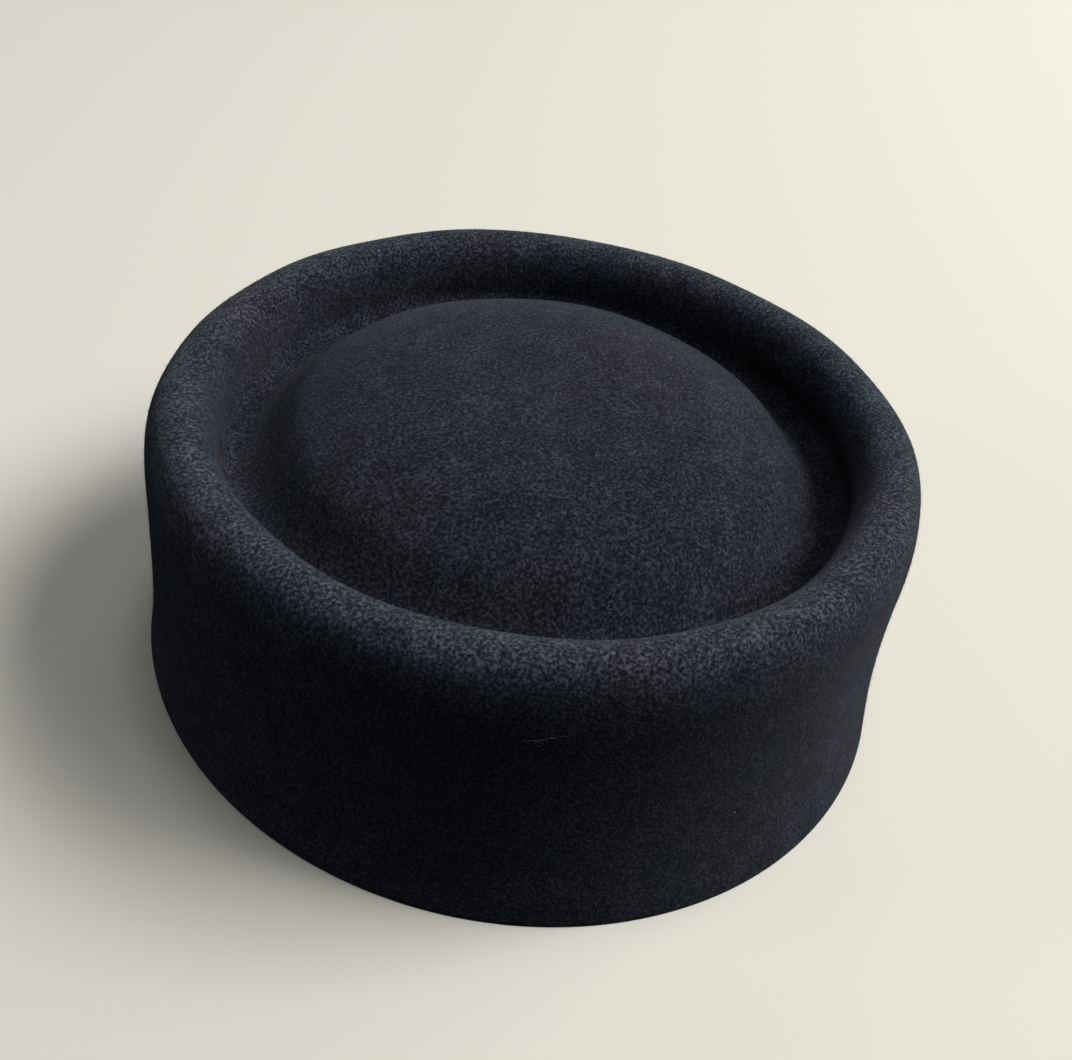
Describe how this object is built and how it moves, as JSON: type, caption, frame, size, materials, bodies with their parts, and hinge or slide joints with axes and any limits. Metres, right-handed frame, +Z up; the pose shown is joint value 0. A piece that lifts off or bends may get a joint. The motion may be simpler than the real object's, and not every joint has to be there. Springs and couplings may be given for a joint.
{
  "type": "pillbox hat",
  "caption": "One-piece blocked felt pillbox hat with a rounded rim roll, a groove inside the roll and a low domed tip, open below.",
  "frame": {"origin": "middle of the head opening, in the plane of the cut edge that the hat rests on", "axes": "+X across the head, -Y towards the front, +Z up through the tip"},
  "size_m": [0.1896, 0.1986, 0.0745],
  "materials": {
    "wool_felt": "matte black wool felt with a short nap and a raw cut edge"
  },
  "bodies": {
    "root": {"felt_body": "wool_felt"}
  },
  "joints": []
}
